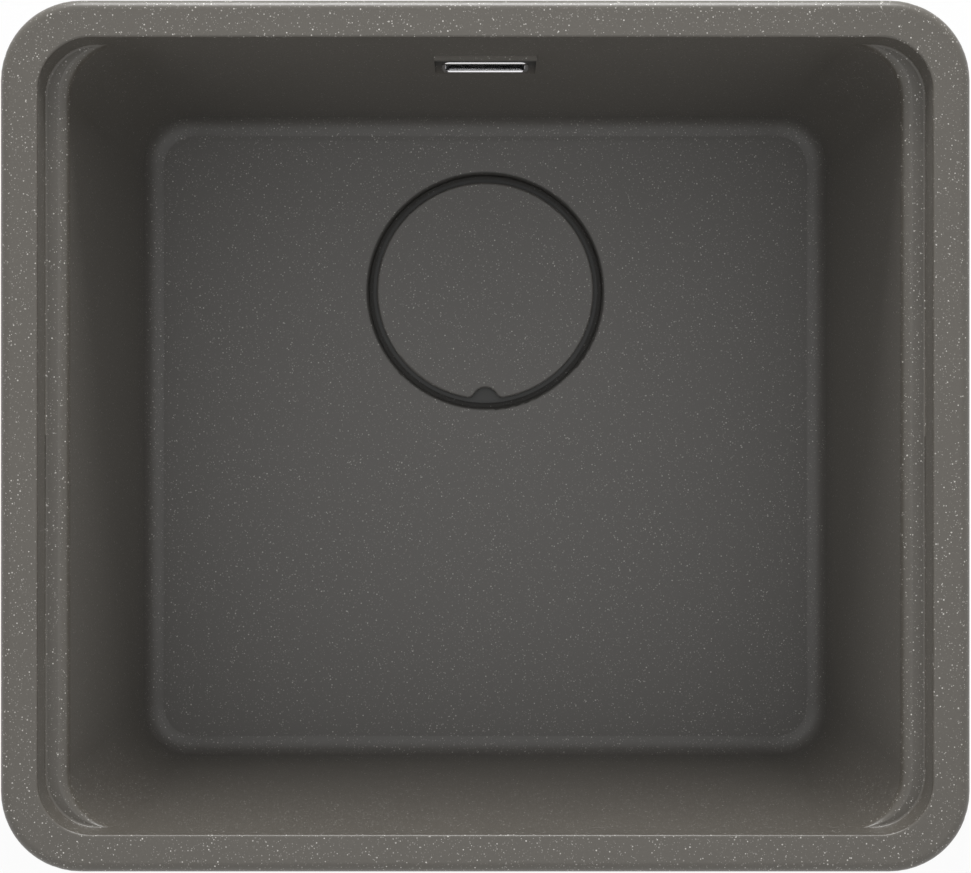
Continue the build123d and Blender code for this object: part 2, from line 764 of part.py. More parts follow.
def overflow_head():
    """The plastic chamber behind the wall, with its outlet for the hose."""
    plate_back = pad_gasket_face + HEAD_PLATE
    plate = across(HEAD_LENGTH, HEAD_HEIGHT, HEAD_CORNER, pad_gasket_face, plate_back)
    box_top = level(BEZEL_DEPTH) + HEAD_BOX_RISE
    box_centre = Pos(0, (plate_back + head_back) / 2, (box_top + head_floor) / 2)
    box_height = box_top - head_floor
    chamber = box_centre * Box(head_box_length, HEAD_BOX_DEPTH, box_height)
    chamber = fillet(chamber.edges().filter_by(Axis.Z).group_by(Axis.Y)[-1], HEAD_ROUND)
    hollow = Pos(0, (plate_back + head_back - HEAD_WALL) / 2, (box_top + head_floor) / 2) * Box(
        head_box_length - 2 * HEAD_WALL, HEAD_BOX_DEPTH - HEAD_WALL, box_height - 2 * HEAD_WALL
    )
    hollow = fillet(hollow.edges().filter_by(Axis.Z).group_by(Axis.Y)[-1], HEAD_ROUND - HEAD_WALL)
    spigot = tube(spigot_frame, UNION_RADIUS, HOSE_BORE, -HEAD_WALL, UNION_LENGTH)
    drain = bar(spigot_frame, HOSE_BORE, -HEAD_WALL, UNION_LENGTH)
    bosses = [
        screw_rod(x, SCREW_BOSS, pad_gasket_face, pad_gasket_face + SCREW_LENGTH + HEAD_WALL)
        for x in (-SCREW_SPREAD, SCREW_SPREAD)
    ]
    pilot = SCREW_RADIUS + SCREW_CLEARANCE
    pilots = [
        screw_rod(x, pilot, pad_gasket_face, pad_gasket_face + SCREW_LENGTH + WEB / 2)
        for x in (-SCREW_SPREAD, SCREW_SPREAD)
    ]
    window = across(WEB_OPENING, sleeve_height, sleeve_corner, pad_gasket_face, plate_back, -SLEEVE_WALL)
    return plate + chamber - hollow + spigot - drain + bosses - window - pilots


def hose_frames():
    """Places along the hose: straight down from the head, one bend, then into the inlet."""
    top = Vector(0, hose_offset, spigot_end - HOSE_SEAL)
    foot = inlet_frame.offset(INLET_LENGTH + HOSE_SEAL).origin
    rise = inlet_frame.z_dir
    corner = foot + rise * ((hose_offset - foot.Y) / rise.Y)
    return FilletPolyline(top, corner, foot, radius=HOSE_BEND)


def overflow_hose():
    """The ribbed hose with a smooth cuff and a collar at both ends."""
    route = hose_frames()
    length = route.length
    root = HOSE_RADIUS - HOSE_RIB
    ribs = int((length - 2 * HOSE_CUFF) / HOSE_PITCH)
    first = (length - ribs * HOSE_PITCH) / 2
    marks = [(0.0, root), (first, root)]
    for rib in range(ribs):
        start = first + rib * HOSE_PITCH
        marks += [
            (start + RIB_FOOT * HOSE_PITCH, root),
            (start + RIB_CREST * HOSE_PITCH, HOSE_RADIUS),
            (start + (1 - RIB_CREST) * HOSE_PITCH, HOSE_RADIUS),
            (start + (1 - RIB_FOOT) * HOSE_PITCH, root),
        ]
    marks += [(length - first, root), (length, root)]
    rings = [hose_place(route, mark) * Circle(radius) for mark, radius in marks]
    hose = loft(rings, ruled=True)
    for start, end in ((0.0, HOSE_COLLAR), (length - HOSE_COLLAR, length)):
        hose += extrude(hose_place(route, start) * Circle(UNION_RADIUS), end - start)
    print(f"hose length {length:.1f} mm, bend {HOSE_BEND} mm, ribs {ribs}")
    return hose - sweep(hose_place(route, 0.0) * Circle(HOSE_BORE), route)


def hose_place(route, distance):
    """A plane square to the hose at this distance along it, with a steady X axis."""
    share = distance / route.length
    return Plane(route @ share, (1, 0, 0), route % share)


def union_nut(frame, reach):
    """A nut on the thread at a spigot's end, gripping the hose's collar with its lip."""
    collar_end = reach + HOSE_SEAL + HOSE_COLLAR
    thread = UNION_RADIUS + UNION_CLEARANCE
    start = reach - UNION_NUT_COVER
    nut = tube(frame, UNION_NUT_RADIUS, thread, start, collar_end)
    nut += tube(frame, UNION_NUT_RADIUS, HOSE_RADIUS + SLEEVE_CLEARANCE, collar_end, collar_end + UNION_LIP)
    end = collar_end + UNION_LIP
    grip = Circle(UNION_GRIP_RADIUS)
    for place in PolarLocations(UNION_NUT_RADIUS + UNION_GRIP_RADIUS / 2, UNION_GRIPS):
        nut -= extrude(frame.offset(start) * place * grip, end - start)
    return nut


def union_seal(frame, reach):
    return tube(frame, UNION_RADIUS, HOSE_BORE, reach, reach + HOSE_SEAL)


def clip_inserts():
    thread = CLIP_SCREW + CLIP_SCREW_CLEARANCE
    return [
        rod(INSERT_RADIUS, insert_bottom, insert_bottom + INSERT_LENGTH, x, y)
        - rod(thread, insert_bottom, insert_bottom + INSERT_LENGTH, x, y)
        for x, y in clip_spots()
    ]


def clip_screws():
    head_top = arm_under
    screws = []
    for x, y in clip_spots():
        screw = rod(CLIP_SCREW, head_top, insert_bottom + CLIP_SCREW_GRIP, x, y)
        head = rod(CLIP_HEAD, head_top - CLIP_HEAD_HEIGHT, head_top, x, y)
        slot = Pos(x, y, head_top - CLIP_HEAD_HEIGHT + CLIP_SLOT_DEPTH / 2) * Box(
            2 * CLIP_HEAD, CLIP_SLOT, CLIP_SLOT_DEPTH
        )
        screws.append(screw + head - slot)
    return screws


def clip_arm(x, y):
    """A pressed arm on its screw, stowed along the bowl, with a toothed lip at its tip."""
    end = ARM_WIDTH / 2
    plan = Circle(end) + Pos(0, -ARM_REACH / 2) * Rectangle(ARM_WIDTH, ARM_REACH)
    core = Circle(end - ARM_SHEET)
    core += Pos(0, -ARM_REACH / 2) * Rectangle(ARM_WIDTH - 2 * ARM_SHEET, ARM_REACH)
    arm = extrude(Pos(0, 0, arm_under) * plan, ARM_SHEET)
    skirt_length = ARM_REACH - ARM_LIP
    skirt = extrude(Pos(0, 0, arm_under - ARM_SKIRT) * (plan - core), ARM_SKIRT)
    skirt -= Pos(0, -skirt_length - ARM_REACH, arm_under - ARM_SKIRT) * Box(
        2 * ARM_WIDTH, 2 * ARM_REACH, 2 * ARM_SKIRT
    )
    lip_top = arm_under + ARM_SHEET + ARM_LIP
    lip = Pos(0, -ARM_REACH + ARM_SHEET / 2, (arm_under + lip_top) / 2) * Box(
        ARM_WIDTH, ARM_SHEET, lip_top - arm_under
    )
    pitch = ARM_WIDTH / ARM_TEETH
    for tooth in range(ARM_TEETH + 1):
        groove = Rot(0, 45, 0) * Box(ARM_TOOTH, 4 * ARM_SHEET, ARM_TOOTH)
        lip -= Pos(-ARM_WIDTH / 2 + tooth * pitch, -ARM_REACH, lip_top) * groove
    arm += skirt + lip
    arm -= rod(CLIP_SCREW + ARM_HOLE_CLEARANCE, arm_under, arm_under + ARM_SHEET)
    return Pos(x, y, 0) * arm


nodes = {
    "sink_bowl": sink_bowl(),
    "drain_cover": drain_cover(),
    "cover_carrier": cover_carrier(),
    "cover_feet": cover_feet(),
    "flange_gasket": ring(flange_radius, drain_hole, seat_level, flange_under),
    "strainer_flange": strainer_flange(),
    "strainer_basket": strainer_basket(),
    "basket_seal": basket_seal(),
    "basket_knob": basket_knob(),
    "basket_stem": basket_stem(),
    "waste_bolt": waste_bolt(),
    "waste_nut": waste_nut(),
    "waste_gasket": ring(flange_radius, drain_hole, body_top, boss_level),
    "waste_body": waste_body(),
    "waste_tail": waste_tail(),
    "overflow_frame": overflow_frame(),
    "overflow_screws": overflow_screws(),
    "overflow_gasket": overflow_gasket(),
    "overflow_head": overflow_head(),
    "overflow_hose": overflow_hose(),
    "upper_union_nut": union_nut(spigot_frame, UNION_LENGTH),
    "upper_union_seal": union_seal(spigot_frame, UNION_LENGTH),
    "lower_union_nut": union_nut(inlet_frame, INLET_LENGTH),
    "lower_union_seal": union_seal(inlet_frame, INLET_LENGTH),
    "clip_inserts": clip_inserts(),
    "clip_screws": clip_screws(),
}
for number, (x, y) in enumerate(clip_spots(), start=1):
    nodes[f"clip_arm_{number}"] = clip_arm(x, y)

os.makedirs("parts", exist_ok=True)
for name, solids in nodes.items():
    shape = Compound(children=solids) if isinstance(solids, list) else solids
    export_step(shape, f"parts/{name}.step")
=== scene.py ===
import json
import math

import bpy
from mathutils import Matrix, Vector


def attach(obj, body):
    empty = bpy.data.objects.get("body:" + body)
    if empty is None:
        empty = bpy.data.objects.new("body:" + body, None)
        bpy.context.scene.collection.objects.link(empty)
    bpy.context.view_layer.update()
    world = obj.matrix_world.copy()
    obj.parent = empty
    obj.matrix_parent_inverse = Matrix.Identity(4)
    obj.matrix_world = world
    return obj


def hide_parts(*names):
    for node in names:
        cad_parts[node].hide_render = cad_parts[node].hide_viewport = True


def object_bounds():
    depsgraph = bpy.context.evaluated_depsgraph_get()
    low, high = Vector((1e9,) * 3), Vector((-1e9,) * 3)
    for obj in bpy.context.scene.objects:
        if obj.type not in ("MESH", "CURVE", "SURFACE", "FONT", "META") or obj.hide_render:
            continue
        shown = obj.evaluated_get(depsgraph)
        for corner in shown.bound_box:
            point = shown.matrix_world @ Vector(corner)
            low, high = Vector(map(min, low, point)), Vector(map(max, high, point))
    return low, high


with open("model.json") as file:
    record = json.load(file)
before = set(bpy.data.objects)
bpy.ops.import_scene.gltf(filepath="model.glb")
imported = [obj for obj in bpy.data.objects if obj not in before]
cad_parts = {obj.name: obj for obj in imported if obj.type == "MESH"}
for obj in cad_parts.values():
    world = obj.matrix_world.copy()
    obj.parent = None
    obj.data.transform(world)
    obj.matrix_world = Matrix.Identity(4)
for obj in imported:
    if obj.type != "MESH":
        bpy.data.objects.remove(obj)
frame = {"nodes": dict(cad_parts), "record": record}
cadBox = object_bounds()
nodes = frame["nodes"]
print("frame loaded,", len(nodes), "nodes")

mm = 0.001
drainAxis = (0.0, 0.081)    # x and y of the upright line through the drain

# camera, straight above the bowl
photoCamera = {
    "place": (0.12 * mm, -0.23 * mm, 1.085),
    "lens": 85.1,
    "sensor": 36.0,
    "near": 0.01,
    "far": 50.0,
}


def addCamera(settings):
    data = bpy.data.cameras.new("photoCamera")
    data.sensor_fit = "HORIZONTAL"
    data.sensor_width = settings["sensor"]
    data.lens = settings["lens"]
    data.clip_start = settings["near"]
    data.clip_end = settings["far"]
    camera = bpy.data.objects.new("photoCamera", data)
    camera.location = settings["place"]
    bpy.context.scene.collection.objects.link(camera)
    bpy.context.scene.camera = camera


addCamera(photoCamera)
print("camera set")

# ribbed overflow hose, from the head behind the back wall to the waste body, in mm
hose = {
    "route": (
        (0, 208.0, -89.6),
        (0, 208.0, -136.8),
        (0, 208.0, -177.8),
        (0, 187.5, -213.3),
        (0, 152.0, -233.8),
        (0, 145.9, -237.3),
    ),
    "root": 8.0,
    "crest": 9.0,
    "crestPower": 1.6,      # above 1: rounded crests, narrow valleys
    "bore": 7.0,
    "pitch": 4.0,
    "cuff": 7.0,
    "collar": 10.4,
    "collarLength": 2.5,
    "collarEdge": 0.4,
    "collarBack": 0.3,
    "around": 40,
    "ribSteps": 8,
    "boreSteps": 40,
    "lineSteps": 48,
    "smoothAngle": 50,
}


def hoseLine(settings):
    curve = bpy.data.curves.new("hoseRoute", "CURVE")
    curve.dimensions = "3D"
    curve.resolution_u = settings["lineSteps"]
    spline = curve.splines.new("NURBS")
    spline.points.add(len(settings["route"]) - 1)
    for point, place in zip(spline.points, settings["route"]):
        point.co = (*(Vector(place) * mm), 1.0)
    spline.order_u = 3
    spline.use_endpoint_u = True
    holder = bpy.data.objects.new("hoseRoute", curve)
    bpy.context.scene.collection.objects.link(holder)
    bpy.context.view_layer.update()
    traced = bpy.data.meshes.new_from_object(holder)
    line = [vertex.co.copy() for vertex in traced.vertices]
    bpy.data.objects.remove(holder)
    bpy.data.meshes.remove(traced)
    bpy.data.curves.remove(curve)
    return line


def alongLine(line, distance):
    left = distance
    for first, second in zip(line, line[1:]):
        run = (second - first).length
        if left <= run or second is line[-1]:
            return first + (second - first) * (left / run), (second - first).normalized()
        left -= run


def ribProfile(settings, length):
    root, collar = settings["root"], settings["collar"]
    edge, back = settings["collarEdge"], settings["collarBack"]
    collarEnd = settings["collarLength"] * mm
    pitch = settings["pitch"] * mm
    ribs = int((length - 2 * settings["cuff"] * mm) / pitch)
    first = (length - ribs * pitch) / 2
    cuff = [
        (0.0, settings["bore"]), (0.0, collar - edge), (edge * mm, collar),
        (collarEnd - back * mm, collar), (collarEnd, collar - back),
        (collarEnd, root + edge), (collarEnd + edge * mm, root),
    ]
    ribbed = []
    for rib in range(ribs):
        for step in range(settings["ribSteps"]):
            share = step / settings["ribSteps"]
            swell = max(0.0, math.sin(math.pi * share)) ** settings["crestPower"]
            ribbed.append((first + (rib + share) * pitch, root + (settings["crest"] - root) * swell))
    ribbed.append((length - first, root))
    mirrored = [(length - place, radius) for place, radius in reversed(cuff)]
    steps = settings["boreSteps"]
    inner = [(length * (1 - step / steps), settings["bore"]) for step in range(1, steps)]
    return cuff + ribbed + mirrored, inner


def tubeMesh(name, line, profile, around):
    verts, faces = [], []
    side = Vector((1, 0, 0))
    for place, radius in profile:
        centre, heading = alongLine(line, place)
        up = heading.cross(side)
        for step in range(around):
            turn = 2 * math.pi * step / around
            verts.append(centre + (side * math.cos(turn) + up * math.sin(turn)) * radius * mm)
    rings = len(profile)
    for ring in range(rings):
        nextRing = (ring + 1) % rings
        for step in range(around):
            nextStep = (step + 1) % around
            faces.append((
                ring * around + step, ring * around + nextStep,
                nextRing * around + nextStep, nextRing * around + step,
            ))
    mesh = bpy.data.meshes.new(name)
    mesh.from_pydata(verts, [], faces)
    piece = bpy.data.objects.new(name, mesh)
    bpy.context.scene.collection.objects.link(piece)
    return piece


def selectOnly(piece):
    bpy.ops.object.select_all(action="DESELECT")
    piece.select_set(True)
    bpy.context.view_layer.objects.active = piece


def addHose(settings):
    line = hoseLine(settings)
    length = sum((second - first).length for first, second in zip(line, line[1:]))
    outside, inside = ribProfile(settings, length)
    piece = tubeMesh("overflowHose", line, outside + inside, settings["around"])
    selectOnly(piece)
    bpy.ops.object.mode_set(mode="EDIT")
    bpy.ops.mesh.select_all(action="SELECT")
    bpy.ops.mesh.normals_make_consistent(inside=False)
    bpy.ops.object.mode_set(mode="OBJECT")
    bpy.ops.object.shade_smooth_by_angle(angle=math.radians(settings["smoothAngle"]))
    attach(piece, "sink")
    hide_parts("overflow_hose")
    [tuple(alongLine(line, place)[0]) for place in sorted({place for place, radius in outside})]
    print("hose", round(length / mm, 1), "mm,", len(outside), "rings")
    return piece


overflowHose = addHose(hose)

# screw threads that stand on the smooth turned ends, in mm
outletThread = {
    "radius": 23.9,
    "proud": 0.35,
    "foot": 1.5,
    "crestShare": 0.2,
    "pitch": 2.31,
    "turns": 9,
    "steps": 64,
    "low": -301.2,
    "smoothAngle": 40,
}
clipThread = {
    "radius": 2.5,
    "proud": 0.16,
    "foot": 0.7,
    "crestShare": 0.2,
    "pitch": 0.8,
    "turns": 23,
    "steps": 20,
    "low": -50.1,
    "smoothAngle": 40,
}
clipSpots = [(side * 210.714, place) for side in (1, -1) for place in (-112, 0, 112)]
mergeDistance = 0.000001


def addThread(name, settings, x, y):
    bpy.ops.object.select_all(action="DESELECT")
    bpy.ops.mesh.primitive_plane_add(size=1)
    piece = bpy.context.active_object
    piece.name = name
    piece.data.name = name
    inner = settings["radius"] - settings["proud"]
    outer = settings["radius"] + settings["proud"]
    half = settings["foot"] / 2
    crest = half * settings["crestShare"]
    corners = ((inner, -half), (outer, -crest), (inner, half), (outer, crest))
    for vertex, (radius, rise) in zip(piece.data.vertices, corners):
        vertex.co = (radius * mm, 0, rise * mm)
    bpy.ops.object.mode_set(mode="EDIT")
    bpy.ops.mesh.select_all(action="SELECT")
    bpy.ops.mesh.delete(type="ONLY_FACE")
    bpy.ops.object.mode_set(mode="OBJECT")
    screw = piece.modifiers.new("thread", "SCREW")
    screw.axis = "Z"
    screw.screw_offset = settings["pitch"] * mm
    screw.iterations = settings["turns"]
    screw.steps = settings["steps"]
    screw.render_steps = settings["steps"]
    bpy.ops.object.modifier_apply(modifier="thread")
    bpy.ops.object.mode_set(mode="EDIT")
    bpy.ops.mesh.select_all(action="SELECT")
    bpy.ops.mesh.remove_doubles(threshold=mergeDistance)
    bpy.ops.mesh.fill_holes(sides=0)
    bpy.ops.mesh.normals_make_consistent(inside=False)
    bpy.ops.object.mode_set(mode="OBJECT")
    piece.location = (x * mm, y * mm, settings["low"] * mm)
    bpy.ops.object.transform_apply(location=True, rotation=True, scale=True)
    bpy.ops.object.shade_smooth_by_angle(angle=math.radians(settings["smoothAngle"]))
    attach(piece, "sink")
    return piece


threads = [addThread("outletThread", outletThread, 0, 81)]
firstClip = addThread("clipThread1", clipThread, *clipSpots[0])
threads.append(firstClip)
for number, (x, y) in enumerate(clipSpots[1:], start=2):
    copied = firstClip.copy()
    copied.data = firstClip.data.copy()
    copied.name = copied.data.name = f"clipThread{number}"
    bpy.context.scene.collection.objects.link(copied)
    selectOnly(copied)
    copied.location = ((x - clipSpots[0][0]) * mm, (y - clipSpots[0][1]) * mm, 0)
    bpy.ops.object.transform_apply(location=True, rotation=False, scale=False)
    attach(copied, "sink")
    threads.append(copied)
print("threads", len(threads))


# shader maths on sockets
class Wire:
    def __init__(self, finish, socket):
        self.finish = finish
        self.socket = socket

    def join(self, operation, first, second):
        return self.finish.add("ShaderNodeMath", {"operation": operation}, {0: first, 1: second})[0]

    def __add__(self, other):
        return self.join("ADD", self, other)

    def __radd__(self, other):
        return self.join("ADD", other, self)

    def __sub__(self, other):
        return self.join("SUBTRACT", self, other)

    def __rsub__(self, other):
        return self.join("SUBTRACT", other, self)

    def __mul__(self, other):
        return self.join("MULTIPLY", self, other)

    def __rmul__(self, other):
        return self.join("MULTIPLY", other, self)

    def __truediv__(self, other):
        return self.join("DIVIDE", self, other)

    def __rtruediv__(self, other):
        return self.join("DIVIDE", other, self)

    def __pow__(self, other):
        return self.join("POWER", self, other)

    def __gt__(self, other):
        return self.join("GREATER_THAN", self, other)

    def __lt__(self, other):
        return self.join("LESS_THAN", self, other)


class Finish:
    def __init__(self, name, tree=None):
        if tree is None:
            self.material = bpy.data.materials.new(name)
            self.material.use_nodes = True
            tree = self.material.node_tree
        self.tree = tree
        self.tree.nodes.clear()

    def add(self, kind, settings=None, sockets=None):
        node = self.tree.nodes.new(kind)
        for key, value in (settings or {}).items():
            setattr(node, key, value)
        for key, value in (sockets or {}).items():
            if isinstance(value, Wire):
                self.tree.links.new(value.socket, node.inputs[key])
            else:
                node.inputs[key].default_value = value
        return [Wire(self, socket) for socket in node.outputs]

    def where(self):
        return self.add("ShaderNodeTexCoord")[3]                        # object coordinates

    def split(self, place):
        return self.add("ShaderNodeSeparateXYZ", {}, {0: place})

    def noise(self, place, scale, detail=2.0, rough=0.5):
        sockets = {"Vector": place, "Scale": scale, "Detail": detail, "Roughness": rough}
        return self.add("ShaderNodeTexNoise", {}, sockets)[0]

    def cells(self, place, scale):
        sockets = {"Vector": place, "Scale": scale}
        return self.add("ShaderNodeTexVoronoi", {"feature": "F1"}, sockets)[:2]

    def blend(self, share, first, second):
        settings = {"data_type": "RGBA", "blend_type": "MIX", "clamp_factor": True}
        return self.add("ShaderNodeMix", settings, {0: share, 6: first, 7: second})[2]

    def limit(self, value, low=0.0, high=1.0):
        return self.add("ShaderNodeClamp", {}, {0: value, 1: low, 2: high})[0]

    def bump(self, height, strength, distance):
        sockets = {"Height": height, "Strength": strength, "Distance": distance}
        return self.add("ShaderNodeBump", {}, sockets)[0]

    def seen(self):
        ray = self.add("ShaderNodeLightPath")
        return self.limit(ray[0] + ray[3] + ray[6])                     # camera, glossy and transmission rays

    def shader(self, sockets):
        return self.add("ShaderNodeBsdfPrincipled", {}, sockets)[0]

    def output(self, shader):
        self.add("ShaderNodeOutputMaterial", {}, {"Surface": shader})
        return self.material


# granite composite: dark resin-bound grains with pale specks, painted light on the floor, and painted shade
# round the drain and in the overflow recess
granite = {
    "dark": (0.0775, 0.0694, 0.0578, 1),
    "light": (0.0945, 0.0854, 0.0717, 1),
    "speck": (0.62, 0.60, 0.56, 1),
    # painted light: paler, cooler colour of the basin floor
    "paintedFloorLight": (0.119, 0.115, 0.1105, 1),
    # painted shade: dark colour down in the groove round the drain
    "paintedWellShade": (0.026, 0.0255, 0.024, 1),
    # painted shade: dark colour in the recess behind the overflow frame
    "paintedRecessShade": (0.028, 0.0273, 0.0258, 1),
    "grainScale": 900.0,
    "cloudScale": 45.0,
    "dust": {"scale": 1150.0, "smallest": 0.14, "widest": 0.34, "share": 0.5},
    "dustStrength": 0.4,
    "specks": {"scale": 700.0, "smallest": 0.12, "widest": 0.29, "share": 0.62},
    "speckPower": 1.6,
    "speckStrength": (0.19, 0.8),       # faintest, and what the draw adds
    "speckUnderFloorLight": 0.3,
    "floorLevel": -0.194,
    "paintedFloorLightRise": 0.03,
    "paintedFloorLightShare": 0.7,
    "wellShadeLevel": -0.19398,
    "wellShadeFall": 0.0003,
    "wellShadeShare": 0.62,
    "wellShadeRoughness": 0.9,
    "wellShadeSpecular": 0.1,
    "paintedRecessShadeShare": 0.9,
    "roughness": 0.37,
    "grainRoughness": 0.16,
    "speckGloss": 0.1,
    "paintedFloorLightRoughness": 0.14,
    "recessRoughness": 0.6,
    "bump": 0.12,
    "bumpDepth": 0.0001,
    "specular": 0.6,
    "ior": 1.5,
    "sheen": 0.075,
    "sheenRoughness": 0.45,
    "sheenTint": (1.0, 0.96, 0.9, 1),
}
# the cover's lower edge takes the same painted shade
coverGranite = {**granite, "wellShadeLevel": -0.1952, "wellShadeFall": 0.002}
speckEdge = 0.35            # how softly a speck ends, as a share of the smallest radius

# scooped recess behind the overflow frame, measured back from the leaning wall, where shade is painted on the
# granite
recess = {
    "wall": 0.18653,
    "lean": 0.0524,
    "half": 0.027,
    "top": -0.03,
    "foot": -0.076,
    "deep": 0.0022,
    "back": 0.0066,
}
well = {"axis": drainAxis, "radius": 0.0672, "foot": -0.2046}
basin = {"halfLength": 0.1915, "halfWidth": 0.1795, "foot": -0.1955}


def speckMask(finish, place, settings):
    smallest = settings["smallest"]
    distance, colour = finish.cells(place, settings["scale"])
    shuffled = finish.add("ShaderNodeTexWhiteNoise", {"noise_dimensions": "3D"}, {"Vector": colour})[1]
    draws = finish.add("ShaderNodeSeparateColor", {}, {0: shuffled})
    radius = draws[0] * (settings["widest"] - smallest) + smallest
    chosen = draws[1] < settings["share"]
    inside = finish.limit((radius - distance) / (speckEdge * smallest))
    return inside * chosen, draws[2]


def recessShadeMask(finish, place, settings):
    x, y, z = finish.split(place)
    behind = y - z * settings["lean"] - settings["wall"]
    near = (x * x < settings["half"] ** 2) * (z < settings["top"]) * (z > settings["foot"])
    return finish.limit(behind / settings["deep"]) * (behind < settings["back"]) * near


def wellMask(finish, place, settings):
    x, y, z = finish.split(place)
    x, y = x - settings["axis"][0], y - settings["axis"][1]
    return (x * x + y * y < settings["radius"] ** 2) * (z > settings["foot"])


def basinMask(finish, place, settings):
    x, y, z = finish.split(place)
    across = (x * x < settings["halfLength"] ** 2) * (y * y < settings["halfWidth"] ** 2)
    return across * (z > settings["foot"])


def graniteFinish(name, settings):
    finish = Finish(name)
    place = finish.where()
    grain = finish.noise(place, settings["grainScale"], 3.0, 0.62)
    cloud = finish.noise(place, settings["cloudScale"], 2.0)
    tone = finish.limit(grain * 1.5 - 0.25 + (cloud - 0.5) * 0.5)
    colour = finish.blend(tone, settings["dark"], settings["light"])
    height = finish.split(place)[2]
    clear = finish.limit((height - settings["floorLevel"]) / settings["paintedFloorLightRise"])
    paintedFloorLight = (1 - clear) * basinMask(finish, place, basin)                # painted light: a paler, cooler colour on the basin floor for how the floor is lit
    colour = finish.blend(paintedFloorLight * settings["paintedFloorLightShare"], colour, settings["paintedFloorLight"])
    dust, dustDraw = speckMask(finish, place, settings["dust"])
    colour = finish.blend(dust * (dustDraw * settings["dustStrength"]), colour, settings["speck"])
    speck, speckDraw = speckMask(finish, place, settings["specks"])
    faintest, more = settings["speckStrength"]
    strength = speckDraw ** settings["speckPower"] * more + faintest
    strength = strength * (1 - paintedFloorLight * settings["speckUnderFloorLight"])
    colour = finish.blend(speck * strength, colour, settings["speck"])
    low = finish.limit((settings["wellShadeLevel"] - height) / settings["wellShadeFall"])
    shadedWell = low * wellMask(finish, place, well)                        # painted shade down in the groove round the drain
    # painted shade in the recess behind the overflow frame
    paintedRecessShade = recessShadeMask(finish, place, recess)
    colour = finish.blend(paintedRecessShade * settings["paintedRecessShadeShare"], colour, settings["paintedRecessShade"])
    rough = settings["roughness"] + (grain - 0.5) * settings["grainRoughness"]
    rough = rough - speck * settings["speckGloss"] + paintedFloorLight * settings["paintedFloorLightRoughness"]
    rough = rough + paintedRecessShade * settings["recessRoughness"]
    normal = finish.bump(grain + speck * 0.3, settings["bump"], settings["bumpDepth"])
    stone = finish.shader({
        "Base Color": colour, "Roughness": rough, "Normal": normal,
        "Specular IOR Level": settings["specular"], "IOR": settings["ior"], "Sheen Weight": settings["sheen"],
        "Sheen Roughness": settings["sheenRoughness"], "Sheen Tint": settings["sheenTint"],
    })
    # dark matt shader that paints the shade in the groove
    paintedWellShade = finish.shader({
        "Base Color": settings["paintedWellShade"], "Roughness": settings["wellShadeRoughness"],
        "Specular IOR Level": settings["wellShadeSpecular"],
    })
    share = shadedWell * settings["wellShadeShare"]
    return finish.output(finish.add("ShaderNodeMixShader", {}, {0: share, 1: stone, 2: paintedWellShade})[0])


# turned metal, with marks round the drain's axis
steel = {"base": (0.56, 0.56, 0.55, 1), "pale": (0.68, 0.68, 0.67, 1), "axis": drainAxis, "lines": 1500.0}
brass = {"base": (0.62, 0.43, 0.17, 1), "pale": (0.78, 0.6, 0.3, 1), "axis": drainAxis, "lines": 2200.0}


def turnedMarks(finish, place, axis, lines):
    x, y, z = finish.split(place)
    x, y = x - axis[0], y - axis[1]
    radius = (x * x + y * y) ** 0.5
    angle = finish.add("ShaderNodeMath", {"operation": "ARCTAN2"}, {0: y, 1: x})[0]
    spun = finish.add("ShaderNodeCombineXYZ", {}, {0: radius * lines, 1: z * lines, 2: angle * 1.5})[0]
    return finish.noise(spun, 1.0, 3.0, 0.6)


def turnedFinish(name, settings):
    finish = Finish(name)
    place = finish.where()
    marks = turnedMarks(finish, place, settings["axis"], settings["lines"])
    smear = finish.noise(place, 70.0, 3.0)
    colour = finish.blend(marks, settings["base"], settings["pale"])
    rough = marks * 0.16 + smear * 0.12 + 0.16
    normal = finish.bump(marks, 0.1, 0.00005)
    return finish.output(finish.shader({
        "Base Color": colour, "Metallic": 1.0, "Roughness": rough, "Normal": normal,
    }))


# polished plate with faint smears
chrome = {"base": (0.86, 0.86, 0.87, 1), "smear": (0.78, 0.78, 0.79, 1)}


def chromeFinish(name, settings):
    finish = Finish(name)
    place = finish.where()
    smear = finish.noise(place, 160.0, 4.0, 0.6)
    water = finish.limit(finish.noise(place, 420.0, 2.0) * 5 - 3.1)     # dried drops
    colour = finish.blend(smear, settings["base"], settings["smear"])
    rough = smear * 0.08 + water * 0.15 + 0.05
    return finish.output(finish.shader({"Base Color": colour, "Metallic": 1.0, "Roughness": rough}))


# zinc plate: small crystals, slight bluish and straw tints
zinc = {"cool": (0.55, 0.58, 0.62, 1), "warm": (0.63, 0.61, 0.55, 1), "crystal": 900.0}


def zincFinish(name, settings):
    finish = Finish(name)
    place = finish.where()
    tint = finish.noise(place, 110.0, 3.0)
    crystal = finish.cells(place, settings["crystal"])[1]
    draw = finish.add("ShaderNodeSeparateColor", {}, {0: crystal})[0]
    colour = finish.blend(finish.limit(tint * 2.4 - 0.7), settings["cool"], settings["warm"])
    rough = draw * 0.14 + tint * 0.1 + 0.26
    normal = finish.bump(draw, 0.06, 0.00005)
    return finish.output(finish.shader({
        "Base Color": colour, "Metallic": 1.0, "Roughness": rough, "Normal": normal,
    }))


